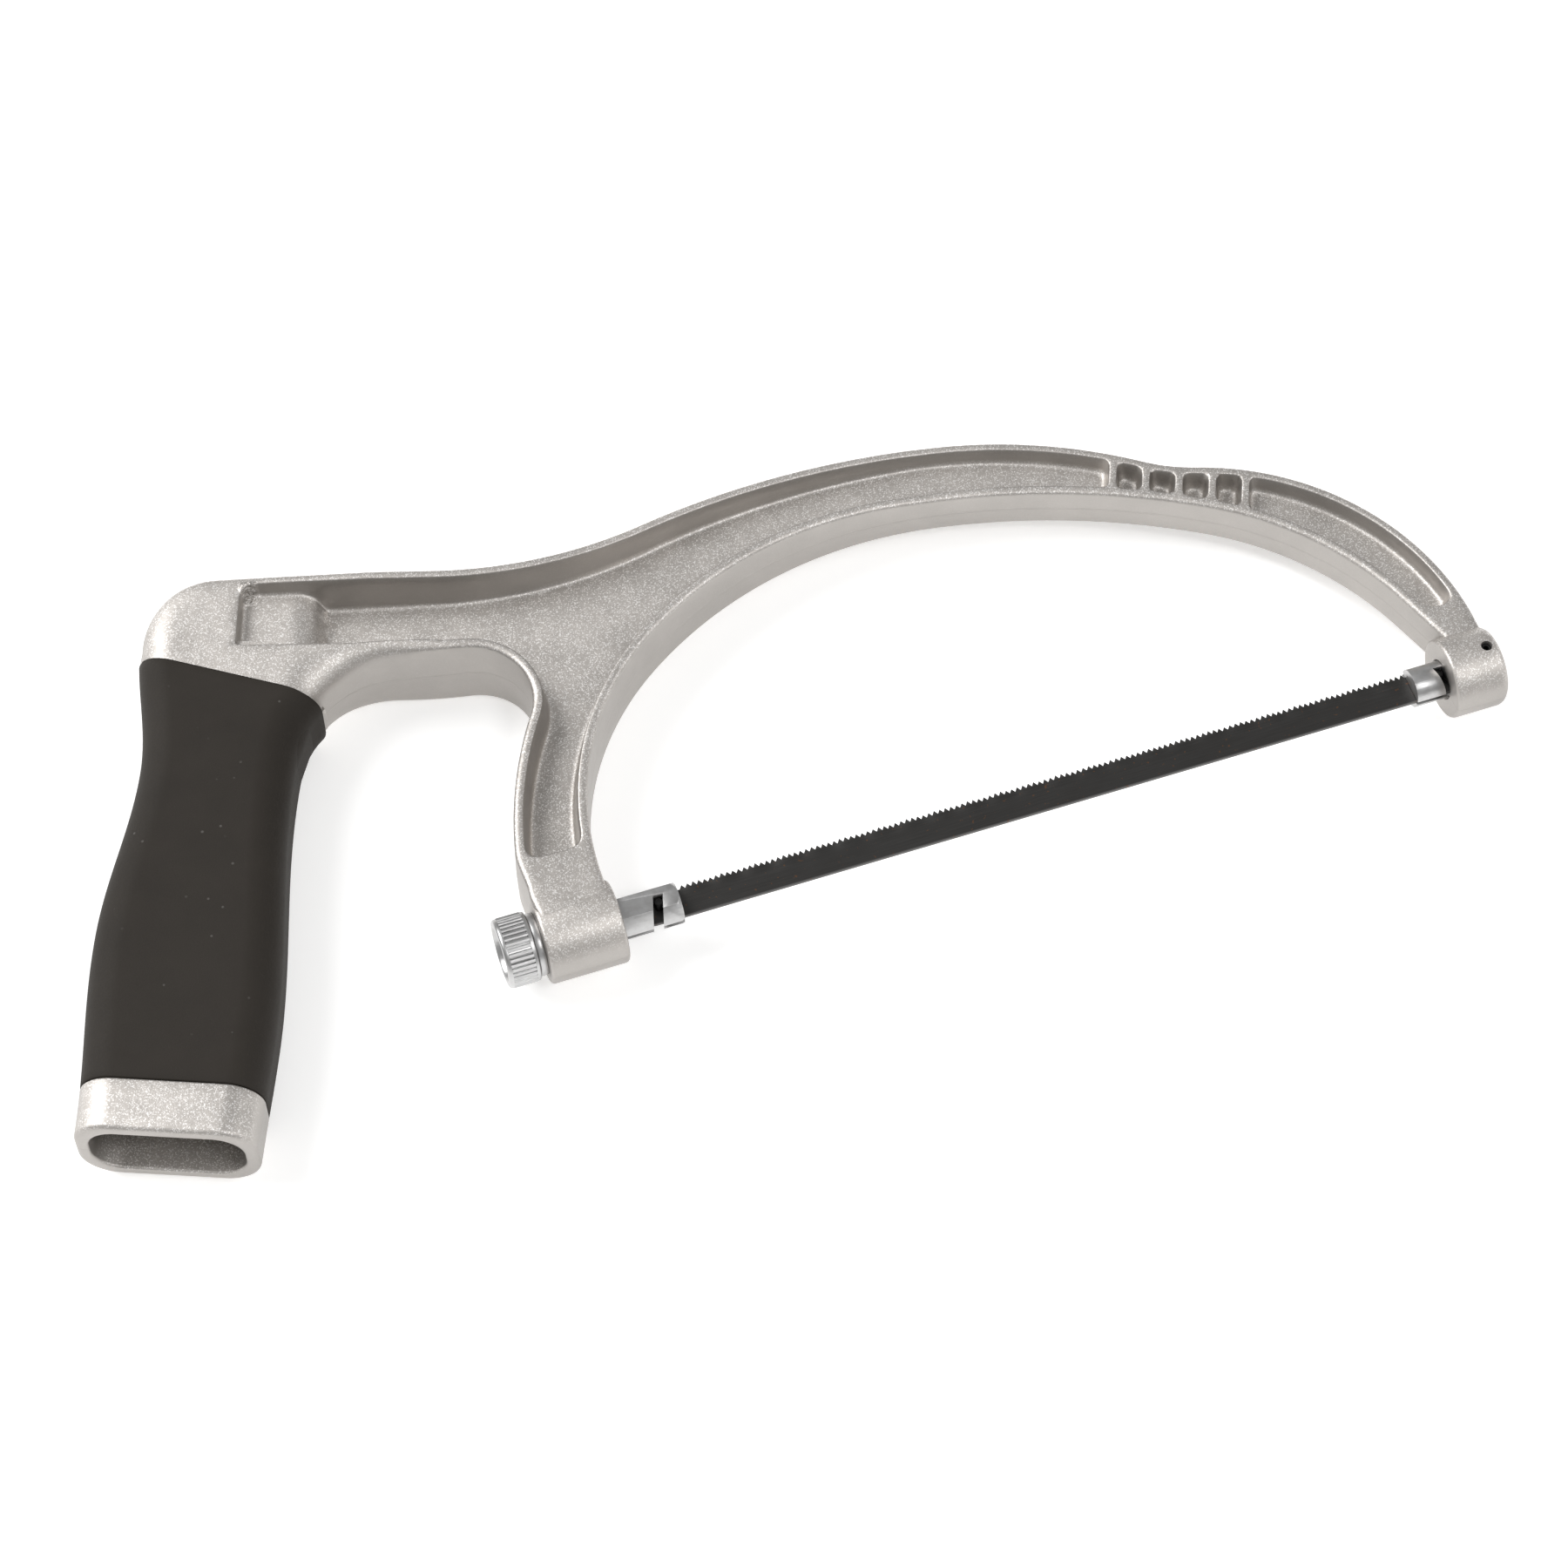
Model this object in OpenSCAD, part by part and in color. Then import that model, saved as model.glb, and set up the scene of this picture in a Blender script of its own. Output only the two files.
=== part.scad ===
// Small bow-framed hacksaw: a die-cast frame with a hollow handle, a rubber grip sleeve, two
// slotted blade holders, a knurled tension nut and a pin-ended blade.
// Each node is one piece. The saw lies on its side, blade along X and the bow towards +Y.

/* [Blade] */
// Distance between the two blade pins
blade_pins = 150; // [120:1:200]
// Width of the blade from its back to its tooth tips
blade_w = 6.3; // [5:0.1:12]
// Thickness of the blade
blade_t = 0.65; // [0.4:0.05:1.2]
// Blade beyond each pin
blade_tail = 2.4; // [1.5:0.1:5]
// Tooth pitch
tooth_pitch = 1.06; // [0.8:0.01:2]
// Depth of the teeth
tooth_h = 0.6; // [0.3:0.05:1.2]
// Diameter of the blade pins
blade_pin_d = 1.5; // [1:0.1:2.5]
// Length of the blade pins
blade_pin_len = 5; // [3:0.1:6]

/* [Bow] */
// Clear height between the blade's axis and the bow
throat_h = 65; // [55:0.5:90]
// Thickness of the front half of the bow
bow_t = 9.5; // [7:0.1:14]
// Thickness of the head and the handle
head_t = 19; // [14:0.1:24]
// Width of the rim round the pockets
rim_w = 1.9; // [1.2:0.1:4]
// Thickness of the web between the pockets
web_t = 2.4; // [1.5:0.1:4]
// Number of cross ribs on the bow
ribs = 5; // [3:1:7]
// Spacing of the cross ribs
rib_pitch = 6.25; // [4.5:0.05:8]
// Thickness of a cross rib
rib_w = 1.7; // [1:0.1:3]
// Thickness of the web between the ribs
cell_web_t = 1; // [0.8:0.1:2]

/* [Bosses and holders] */
// Diameter of the rear boss
rear_boss_d = 15.2; // [13:0.1:20]
// Length of the rear boss
rear_boss_len = 14.5; // [11:0.1:22]
// Diameter of the front boss
front_boss_d = 14.9; // [13:0.1:20]
// Length of the front boss
front_boss_len = 10.5; // [9:0.1:18]
// Width across the flats of the rear holder's hexagon
hex_af = 7.4; // [6:0.1:9]
// Diameter of the rear holder's threaded shank
shank_d = 5; // [4:0.1:6]
// Diameter of the front holder
rod_d = 7.1; // [6:0.1:9]
// Diameter of the cross pin in the front boss
cross_pin_d = 2; // [1.5:0.1:3]
// How much wider the notches are than the blade pins
notch_play = 0.35; // [0.2:0.05:1.5]
// Slant of the notches
notch_slant = 16; // [8:1:20]
// Width of the slots that take the blade
slot_t = 0.9; // [0.7:0.05:1.5]

/* [Nut] */
// Outside diameter of the tension nut
nut_d = 12.8; // [11:0.1:18]
// Length of the tension nut
nut_len = 5.8; // [4:0.1:9]
// Number of ridges round the nut
nut_ridges = 40; // [24:1:60]
// Diameter of the washer
washer_d = 11.4; // [9:0.1:14]
// Thickness of the washer
washer_t = 1.4; // [0.8:0.1:2.5]

/* [Handle] */
// Length of the handle below the head
handle_len = 91; // [80:0.5:120]
// Thickness of the rubber sleeve
sleeve_t = 1.3; // [1:0.1:3]
// Bare metal collar below the sleeve
collar_len = 9.8; // [5:0.1:20]
// Wall of the hollow handle under the sleeve
handle_wall = 1.6; // [1.2:0.1:3]
// Radius of the handle's long edges
handle_round = 6.5; // [3:0.1:8]
// Depth of the hollow
hollow_len = 78; // [40:1:85]

/* [Hidden] */

eps = 0.01;
far = 300;               // longer than anything it cuts
fit_gap = 0.05;          // radial clearance of every running fit
rod_gap = 0.1;           // radial clearance of the front holder in its bore
face_gap = 0.05;         // clearance between faces that turn on each other
facet = 4;               // length of one chord along an outline

// The drawn lengths are for a 150 mm blade and a 65 mm throat. Other sizes stretch the bow's middle
// and its legs, and move the head, the handle and the bosses without changing them.
span_add = blade_pins - 150;
rise_add = throat_h - 65;
stretch_half = 60;
leg_low = 5;
leg_high = 40;
function clamp1(v) = max(-1, min(1, v));
function placed(p) = [p[0] + span_add / 2 * clamp1(p[0] / stretch_half),
                      p[1] + rise_add * clamp1(max(0, (p[1] - leg_low) / (leg_high - leg_low)))];

// A run of tangent steps. A step is [radius, turn in degrees] or, for a straight one, [0, length].
function advance(p, s, f) =
    s[0] == 0 ? [p[0] + f * s[1] * cos(p[2]), p[1] + f * s[1] * sin(p[2]), p[2]]
    : let (r = s[0] * sign(s[1]), t = p[2] + f * s[1])
      [p[0] + r * (sin(t) - sin(p[2])), p[1] - r * (cos(t) - cos(p[2])), t];
function chords(s) = s[0] == 0 ? 1 : ceil(s[0] * abs(s[1]) * PI / 180 / facet);
function run(p, steps, i = 0) =
    i == len(steps) ? [[p[0], p[1]]]
    : concat([for (k = [0 : chords(steps[i]) - 1])
                let (q = advance(p, steps[i], k / chords(steps[i]))) [q[0], q[1]]],
             run(advance(p, steps[i], 1), steps, i + 1));
function placed_all(pts) = [for (p = pts) placed(p)];

// The handle's own axes: across towards the blade, and down from the head.
lean = 22.3;
head_p = placed([-137, 66]);
across = [cos(lean), -sin(lean)];
down = [-sin(lean), -cos(lean)];
function on_handle(w, s) = head_p + w * across + s * down;

// The handle's two sides, each a smooth wave between its widest and narrowest stations.
drawn_len = 91;
grow = handle_len / drawn_len;
back_side = [[-12, -16.6], [18, -12.4], [53, -15.4], [91, -13.2]];
front_side = [[18, 15.3], [69, 18.7], [91, 18.4]];
flare_s = 1.5;           // where the front side is widest, just under the finger gap's corner
flare_w = 3.7;
function wave(t) = (1 - cos(180 * t)) / 2;
function side(st, s, i = 0) =
    s <= st[i + 1][0] || i == len(st) - 2
    ? st[i][1] + (st[i + 1][1] - st[i][1]) * wave((s - st[i][0]) / (st[i + 1][0] - st[i][0]))
    : side(st, s, i + 1);
function front_w(s) = s < front_side[0][0]
    ? front_side[0][1] + flare_w * pow((front_side[0][0] - s) / (front_side[0][0] - flare_s), 3)
    : side(front_side, s);
function stations(a, b) = let (n = ceil(abs(b - a) / facet)) [for (i = [0 : n]) a + (b - a) * i / n];
back_from = -5;
function back_run(d, s1) = [for (s = stations(back_from, s1)) on_handle(side(back_side, s) + d, s * grow)];
function front_run(d, s1) = [for (s = stations(s1, flare_s)) on_handle(front_w(s) - d, s * grow)];

// The frame's outline in one closed turn: front arm, bow, neck, head, handle, finger gap, rear leg and
// the throat.
bow_top = run([85.6, 9.4, 91.8], [[51.2, 70.6], [33, -18], [92.3, 28.8], [165, 18.2], [85.5, -26.8],
                                  [0, 39.5], [14, 88]]);
gap_run = run([-120.2, 58.1, 38.1], [[17.5, -50], [0, 13.3], [11.1, -110.7], [82, 27.5]]);
throat = run([78, 6.2, 111], [[0, 10.5], [61.7, 38.2], [137.4, 24.2], [76.8, 42.1], [56, 57.2]]);
throat_rev = [for (i = [len(throat) - 1 : -1 : 0]) throat[i]];
outline = concat(placed_all([[85.6, 0]]), placed_all(bow_top), back_run(0, drawn_len),
                 front_run(0, drawn_len), placed_all(gap_run), placed_all([[-96.4, 0], [-83, 0]]),
                 placed_all(throat_rev), placed_all([[79.5, 0]]));

// Moves each point of a closed outline inwards along its own normal.
function inset(pts, d) = let (n = len(pts)) [for (i = [0 : n - 1])
    let (a = pts[(i + n - 1) % n], b = pts[(i + 1) % n], t = b - a, l = norm(t))
    pts[i] + d * [-t[1], t[0]] / l];

// Thickness grows from the bow to the head, square to the handle.
taper_dir = 180 - lean;
taper_shift = span_add / 2 * cos(lean) + rise_add * sin(lean);
taper_from = 27 + taper_shift;
taper_to = 127 + taper_shift;

// Where things stand along the blade's axis.
rear_pin_x = -blade_pins / 2;
front_pin_x = blade_pins / 2;
rear_face = rear_pin_x - 7.5;
rear_end = rear_face - rear_boss_len;
front_face = front_pin_x + 0.8;
front_end = front_face + front_boss_len;
cross_pin_x = front_end - 2.6;
pocket_low = 12.5;

// The row's origin: the middle of the box, at its lowest point.
reach = [for (p = outline) p[0]];
rise = [for (p = outline) p[1]];
x_mid = (min(reach) + front_end) / 2;
y_mid = (min(rise) + max(rise)) / 2;
z_mid = max(head_t, rear_boss_d, front_boss_d) / 2;
module in_place() { translate([-x_mid, -y_mid, z_mid]) children(); }

module along_x(x0, x1, d, fn = 64) {
    translate([x0, 0, 0]) rotate([0, 90, 0]) cylinder(h = x1 - x0, d = d, $fn = fn);
}
module hex_bar(x0, x1, af) {
    translate([x0, 0, 0]) rotate([0, 90, 0]) rotate([0, 0, 30])
        cylinder(h = x1 - x0, d = af / cos(30), $fn = 6);
}

// A long prism whose section stands across the handle; it runs down the handle's axis.
module down_handle(s0, s1) {
    translate(on_handle(0, s1)) rotate([0, 0, -lean]) rotate([-90, 0, 0])
        linear_extrude(height = s1 - s0) children();
}
module rounded_band(w0, w1, t, r) {
    translate([w0 + r, -t / 2]) square([w1 - w0 - 2 * r, t]);
    translate([w0, -t / 2 + r]) square([w1 - w0, t - 2 * r]);
    for (x = [w0 + r, w1 - r], y = [-t / 2 + r, t / 2 - r]) translate([x, y]) circle(r = r, $fn = 48);
}
back_edge = -16.6;       // the widest reach of the handle's two sides
front_edge = 18.8;
module handle_envelope(d) {
    down_handle(-far, far)
        rounded_band(back_edge + d, front_edge - d, head_t - 2 * d, handle_round - d / 2);
}

// The part of the handle below the slanting top edge of the sleeve and above the end.
sleeve_slope = 0.2;
sleeve_top = -1.5;
zone_w = 40;             // wider than the handle
module handle_zone(s0, s1, slope) {
    polygon([on_handle(-zone_w, s0 - zone_w * slope), on_handle(zone_w, s0 + zone_w * slope),
             on_handle(zone_w, s1), on_handle(-zone_w, s1)]);
}
module slab2(t) { linear_extrude(height = t, center = true) children(); }

module taper_envelope() {
    rotate([0, 0, taper_dir]) rotate([90, 0, 0]) linear_extrude(height = 2 * far, center = true)
        polygon([[-far, -bow_t / 2], [taper_from, -bow_t / 2], [taper_to, -head_t / 2], [far, -head_t / 2],
                 [far, head_t / 2], [taper_to, head_t / 2], [taper_from, bow_t / 2], [-far, bow_t / 2]]);
}

// The handle's outside, or with d above 0 the same shape that much smaller.
module handle_solid(d, s0, s1, slope) {
    intersection() {
        slab2(head_t) intersection() {
            polygon(concat(back_run(d, drawn_len + 5), front_run(d, drawn_len + 5)));
            handle_zone(s0, s1, slope);
        }
        handle_envelope(d);
    }
}

pocket_window = placed_all([[-132.3, 72], [-128.6, 83], [-128.6, 120], [120, 120], [120, pocket_low],
                            [-99, pocket_low], [-99, 62.4]]);
module pocket_shape() {
    intersection() {
        polygon(inset(outline, rim_w));
        polygon(pocket_window);
    }
}

// The ribs cross the bow where its outer edge dips.
rib_mid = placed([44.7, 52.7]);
rib_turn = -24;
rib_len = 30;            // longer than the bow is wide, and cut to it
module rib_row(n, w, l) {
    translate(rib_mid) rotate(rib_turn)
        for (i = [0 : n - 1]) translate([(i - (n - 1) / 2) * rib_pitch - w / 2, -l / 2]) square([w, l]);
}

// The hump at the pocket's head end: a flat crest that rolls down to the web.
hump_z = 6.2;
hump_roll = 5;
hump_back = 7.5;         // half the crest's width
hump_turn = 95 - lean;
hump_len = 24;
module hump() {
    translate(concat(placed([-131.5, 66]), 0)) rotate([0, 0, hump_turn]) rotate([90, 0, 90])
        linear_extrude(height = hump_len) {
            translate([-hump_back, -hump_z]) square([10, 2 * hump_z]);
            for (s = [-1, 1]) scale([1, s]) translate([-hump_back, hump_z - hump_roll])
                circle(r = hump_roll, $fn = 48);
        }
}

module bow_plate() {
    intersection() {
        slab2(head_t) difference() {
            polygon(outline);
            handle_zone(sleeve_top, far, sleeve_slope);
        }
        taper_envelope();
        down_handle(-far, far) rounded_band(back_edge, 2 * far, head_t, handle_round);
    }
}

hex_stop = 4.5;          // metal left between the hexagonal bore and the nut's side of the boss
front_wall = 1.2;        // metal left at the blind end of the front bore
module cross_hole() {
    translate([cross_pin_x, 0, 0])
        cylinder(h = front_boss_d + 2, d = cross_pin_d + 2 * fit_gap, center = true, $fn = 32);
}
seat_room = 1;           // how much wider the nut's seat is than the washer
module rear_bores() {
    along_x(rear_end - 3, rear_end, washer_d + seat_room);
    hex_bar(rear_end + hex_stop, rear_face + 1, hex_af + 2 * fit_gap);
    along_x(rear_end - 1, rear_face, shank_d + 2 * fit_gap);
}
module front_bores() {
    along_x(front_face - 1, front_end - front_wall, rod_d + 2 * rod_gap);
    cross_hole();
}

module frame() {
    color([0.72, 0.70, 0.68]) in_place() difference() {
        union() {
            difference() {
                bow_plate();
                for (s = [0, 1]) mirror([0, 0, s]) {
                    translate([0, 0, web_t / 2]) linear_extrude(height = head_t) difference() {
                        pocket_shape();
                        rib_row(ribs, rib_w, rib_len);
                    }
                    translate([0, 0, cell_web_t / 2]) linear_extrude(height = head_t) intersection() {
                        pocket_shape();
                        difference() {
                            rib_row(1, rib_pitch * (ribs - 1), rib_len);
                            rib_row(ribs, rib_w, 2 * rib_len);
                        }
                    }
                }
            }
            intersection() {
                slab2(head_t) pocket_shape();
                hump();
            }
            handle_solid(sleeve_t, sleeve_top - eps, handle_len - collar_len + eps, sleeve_slope);
            handle_solid(0, handle_len - collar_len, handle_len, 0);
            along_x(rear_end, rear_face, rear_boss_d);
            along_x(front_face, front_end, front_boss_d);
        }
        handle_solid(sleeve_t + handle_wall, handle_len - hollow_len, handle_len + 2, 0);
        rear_bores();
        front_bores();
    }
}

module grip_sleeve() {
    color([0.13, 0.12, 0.11]) in_place() difference() {
        handle_solid(0, sleeve_top + face_gap, handle_len - collar_len - face_gap, sleeve_slope);
        handle_solid(sleeve_t, sleeve_top - 2, handle_len - collar_len + 2, sleeve_slope);
    }
}

module nut_washer() {
    color([0.76, 0.77, 0.75]) in_place() difference() {
        along_x(rear_end - washer_t, rear_end, washer_d);
        along_x(rear_end - washer_t - 1, rear_end + 1, shank_d + 0.4);
    }
}

nut_face = rear_end - washer_t - face_gap;
nut_end = nut_face - nut_len;
module tension_nut() {
    ridge_h = 0.35;
    rim = 0.5;
    core_d = nut_d - 2 * ridge_h - 0.1;
    recess_d = nut_d - 3.4;
    recess = 1.2;
    color([0.84, 0.85, 0.83]) in_place() difference() {
        union() {
            along_x(nut_end, nut_face, core_d);
            translate([nut_end + rim, 0, 0]) rotate([0, 90, 0]) rotate([0, 0, 90 / nut_ridges])
                linear_extrude(height = nut_len - 2 * rim) polygon([
                    for (i = [0 : 2 * nut_ridges - 1]) (nut_d / 2 - (i % 2) * ridge_h)
                        * [cos(180 * i / nut_ridges), sin(180 * i / nut_ridges)]]);
        }
        along_x(nut_end - 1, nut_end + recess, recess_d);
        along_x(nut_end, nut_face + 1, shank_d + 2 * fit_gap);
    }
}

// A slot for the blade and a slanting notch for its pin, cut from the blade's back side.
notch_end = blade_pin_d / 2 + fit_gap;
module blade_cut(pin_x, side_dir, slot_from, slot_to) {
    translate([slot_from, -2 * hex_af, -slot_t / 2]) cube([slot_to - slot_from, 4 * hex_af, slot_t]);
    pin_room = (blade_pin_d / 2 + fit_gap) / cos(notch_slant);
    near = pin_x + side_dir * (pin_room + notch_end * tan(notch_slant));
    other = near - side_dir * (blade_pin_d + notch_play);
    drop = 8;            // past the holder's edge
    shear = side_dir * (drop + notch_end) * tan(notch_slant);
    slab2(2 * drop)
        polygon([[near, notch_end], [other, notch_end], [other - shear, -drop], [near - shear, -drop]]);
}

hex_out = 11.2;          // how far the hexagon stands out of the rear boss
hex_travel = 4.7;        // how far the hexagon can be drawn back into the boss
module rear_blade_holder() {
    bar_end = rear_face + hex_out;
    bar_start = rear_end + hex_stop + hex_travel;
    shank_start = nut_end + 1.4;
    slot_in = 1.5;
    tip_len = 0.9;
    tip_d = hex_af * 1.16;
    tip_end_d = tip_d - 1.2;
    color([0.80, 0.81, 0.79]) in_place() difference() {
        union() {
            hex_bar(bar_start, bar_end, hex_af);
            along_x(shank_start, bar_start + eps, shank_d);
        }
        blade_cut(rear_pin_x, 1, rear_face - slot_in, bar_end + 1);
        difference() {
            along_x(bar_end - tip_len, bar_end + 1, hex_af * 2);
            translate([bar_end - tip_len, 0, 0]) rotate([0, 90, 0])
                cylinder(h = tip_len, d1 = tip_d, d2 = tip_end_d, $fn = 64);
        }
    }
}

rod_out = 6.2;           // how far the front holder stands out of its boss
module front_blade_holder() {
    rod_end = front_face - rod_out;
    slot_in = 3.2;
    color([0.80, 0.81, 0.79]) in_place() difference() {
        along_x(rod_end, front_end - front_wall - rod_gap, rod_d);
        blade_cut(front_pin_x, -1, rod_end - 1, front_face + slot_in);
        cross_hole();
    }
}

module front_holder_pin() {
    sunk = 0.8;
    color([0.55, 0.54, 0.52]) in_place() translate([cross_pin_x, 0, 0]) difference() {
        cylinder(h = front_boss_d - 2 * sunk, d = cross_pin_d, center = true, $fn = 32);
        cylinder(h = front_boss_d, d = cross_pin_d / 2, center = true, $fn = 32);
    }
}

module blade() {
    ends = blade_pins + 2 * blade_tail;
    back = -blade_w / 2;
    root = blade_w / 2 - tooth_h;
    bare = 4.5;
    teeth = floor((blade_pins - 2 * bare) / tooth_pitch);
    first = -teeth * tooth_pitch / 2;
    rake = 0.3;
    color([0.25, 0.24, 0.24]) in_place() difference() {
        slab2(blade_t) polygon(concat(
            [[-ends / 2, back], [ends / 2, back], [ends / 2, root]],
            [for (i = [teeth : -1 : 1], k = [0, 1])
                [first + i * tooth_pitch - k * rake, root + k * tooth_h]],
            [[first, root], [-ends / 2, root]]));
        for (x = [rear_pin_x, front_pin_x]) translate([x, 0, 0])
            cylinder(h = 3, d = blade_pin_d, center = true, $fn = 32);
    }
}

module blade_pin(x) {
    in_place() translate([x, 0, 0]) cylinder(h = blade_pin_len, d = blade_pin_d, center = true, $fn = 32);
}
module blade_pin_rear() { color([0.35, 0.34, 0.33]) blade_pin(rear_pin_x); }
module blade_pin_front() { color([0.35, 0.34, 0.33]) blade_pin(front_pin_x); }

frame();
grip_sleeve();
nut_washer();
tension_nut();
rear_blade_holder();
front_blade_holder();
front_holder_pin();
blade();
blade_pin_rear();
blade_pin_front();
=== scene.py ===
"""Small hacksaw: die-cast frame, rubber sleeve, slotted holders, knurled nut, pin-ended blade."""
import math

import bpy
import bmesh
import numpy as np
from mathutils import Matrix, Vector, geometry


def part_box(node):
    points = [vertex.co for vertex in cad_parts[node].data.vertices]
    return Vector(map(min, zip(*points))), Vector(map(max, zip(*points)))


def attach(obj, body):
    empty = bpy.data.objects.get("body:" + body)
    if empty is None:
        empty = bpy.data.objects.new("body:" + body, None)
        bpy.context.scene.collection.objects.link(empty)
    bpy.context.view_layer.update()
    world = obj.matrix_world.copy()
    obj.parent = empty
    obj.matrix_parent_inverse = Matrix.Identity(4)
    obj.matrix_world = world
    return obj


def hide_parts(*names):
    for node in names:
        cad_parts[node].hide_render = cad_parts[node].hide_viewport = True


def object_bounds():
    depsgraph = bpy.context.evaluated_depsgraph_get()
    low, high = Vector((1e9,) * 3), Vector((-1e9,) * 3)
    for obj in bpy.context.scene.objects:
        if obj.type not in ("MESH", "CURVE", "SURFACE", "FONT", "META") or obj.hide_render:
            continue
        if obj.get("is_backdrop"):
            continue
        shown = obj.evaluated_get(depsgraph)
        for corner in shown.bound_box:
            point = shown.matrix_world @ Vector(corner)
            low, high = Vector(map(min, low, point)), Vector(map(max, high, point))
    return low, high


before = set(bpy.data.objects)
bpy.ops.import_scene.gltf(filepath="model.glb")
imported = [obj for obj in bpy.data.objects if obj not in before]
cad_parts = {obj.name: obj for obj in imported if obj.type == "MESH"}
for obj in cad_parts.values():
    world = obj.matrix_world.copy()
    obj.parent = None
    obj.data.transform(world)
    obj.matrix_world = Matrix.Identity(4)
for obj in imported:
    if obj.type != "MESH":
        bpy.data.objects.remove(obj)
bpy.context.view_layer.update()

MM = 0.001

# ---------------------------------------------------------------- places
# The saw's own origin is midway between the blade pins, on the blade's axis, at mid thickness.
pin_low, pin_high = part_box("blade_pin_front")
rear_low, rear_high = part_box("blade_pin_rear")
corners = [np.array(p) for p in (pin_low, pin_high, rear_low, rear_high)]
ORIGIN = sum(corners) / 4 / MM
PIN_X = (pin_low.x + pin_high.x) / 2 / MM - ORIGIN[0]


def span(node):
    """A node's lowest and highest x in saw millimetres."""
    low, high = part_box(node)
    return low.x / MM - ORIGIN[0], high.x / MM - ORIGIN[0]


def ease(t):
    """A smooth step from 0 at t 0 to 1 at t 1."""
    t = np.clip(t, 0, 1)
    return t * t * (3 - 2 * t)


# ---------------------------------------------------------------- mesh helpers
def add_piece(name, verts, faces, body, slot, material, replaced=()):
    """A closed mesh from saw millimetres, riding on a body."""
    mesh = bpy.data.meshes.new(name)
    mesh.from_pydata([tuple((np.asarray(v) + ORIGIN) * MM) for v in verts], [], faces)
    obj = bpy.data.objects.new(name, mesh)
    bpy.context.scene.collection.objects.link(obj)
    bm = bmesh.new()
    bm.from_mesh(mesh)
    bmesh.ops.recalc_face_normals(bm, faces=bm.faces)
    bm.to_mesh(mesh)
    bm.free()
    finish_piece(obj, body, material, replaced)
    return obj


def finish_piece(obj, body, material, replaced=()):
    """Gives a mesh its material and body, and hides the CAD nodes that it stands for."""
    obj.data.materials.clear()
    obj.data.materials.append(material)
    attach(obj, body)
    if replaced:
        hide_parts(*replaced)


def smooth(obj, angle):
    """Shades a mesh smooth, with sharp edges where faces meet at more than angle degrees."""
    obj.data.shade_smooth()
    bm = bmesh.new()
    bm.from_mesh(obj.data)
    for e in bm.edges:
        if len(e.link_faces) == 2 and e.calc_face_angle(0) > math.radians(angle):
            e.smooth = False
    bm.to_mesh(obj.data)
    bm.free()


def evaluated(obj):
    """The mesh that an object's modifiers make, as plain data."""
    graph = bpy.context.evaluated_depsgraph_get()
    return bpy.data.meshes.new_from_object(obj.evaluated_get(graph))


def loft(rings, join=False):
    """Faces between rings of equal length, closed by end caps, or joined last to first."""
    n = len(rings[0])
    verts = [p for ring in rings for p in ring]
    faces = []
    last = len(rings) if join else len(rings) - 1
    for i in range(last):
        a, b = i * n, ((i + 1) % len(rings)) * n
        faces += [(a + k, a + (k + 1) % n, b + (k + 1) % n, b + k) for k in range(n)]
    if not join:
        faces.append(tuple(reversed(range(n))))
        faces.append(tuple((len(rings) - 1) * n + k for k in range(n)))
    return verts, faces


def merge(*shells):
    """Joins (verts, faces) shells that were numbered from 0."""
    verts, faces = [], []
    for v, f in shells:
        base = len(verts)
        verts += list(v)
        faces += [tuple(base + i for i in face) for face in f]
    return verts, faces


def turned(profile, sides=96, shape=None):
    """Rings about the x axis from (x, radius) points; shape can make a ring angular."""
    rings = []
    for i, (x, r) in enumerate(profile):
        ring = []
        for k in range(sides):
            a = 2 * math.pi * (k + 0.5) / sides
            rr = shape(i, r, a) if shape else r
            ring.append((x, rr * math.cos(a), rr * math.sin(a)))
        rings.append(ring)
    return rings


def arc(cx, cr, rad, a0, a1, steps=5):
    """Points of an arc in the (x, radius) plane, angles in degrees."""
    angles = [math.radians(a0 + (a1 - a0) * i / steps) for i in range(steps + 1)]
    return [(cx + rad * math.cos(a), cr + rad * math.sin(a)) for a in angles]


# ---------------------------------------------------------------- the frame's outline
def run(p, steps, chord):
    """A run of tangent arcs [radius, turn] and straights [0, length], as points."""
    x, y, t = p[0], p[1], math.radians(p[2])
    pts = [(x, y)]
    for r, a in steps:
        if r == 0:
            n = max(1, math.ceil(a / chord))
            pts += [(x + a * i / n * math.cos(t), y + a * i / n * math.sin(t))
                    for i in range(1, n + 1)]
        else:
            turn, rs = math.radians(a), math.copysign(r, a)
            n = max(2, math.ceil(r * abs(turn) / chord))
            pts += [(x + rs * (math.sin(t + turn * i / n) - math.sin(t)),
                     y - rs * (math.cos(t + turn * i / n) - math.cos(t))) for i in range(1, n + 1)]
            t += turn
        x, y = pts[-1]
    return pts


CHORD = 1.2
LEAN = math.radians(22.3)
HEAD_AT = np.array([-137.0, 66.0])
ACROSS = np.array([math.cos(LEAN), -math.sin(LEAN)])
DOWN = np.array([-math.sin(LEAN), -math.cos(LEAN)])
BACK_SIDE = [(-12, -16.6), (18, -12.4), (53, -15.4), (91, -13.2)]
FRONT_SIDE = [(18, 15.3), (69, 18.7), (91, 18.4)]
FLARE_S, FLARE_W = 1.5, 3.7
HANDLE_LEN = 91.0
COLLAR_S = 81.2
SLEEVE_TOP, SLEEVE_SLOPE = -1.5, 0.2
SLEEVE_T = 1.3


def side(stops, s):
    """One side of the handle at station s, eased between its stops."""
    for (s0, w0), (s1, w1) in zip(stops, stops[1:]):
        if s <= s1:
            break
    return w0 + (w1 - w0) * (1 - math.cos(math.pi * (s - s0) / (s1 - s0))) / 2


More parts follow.
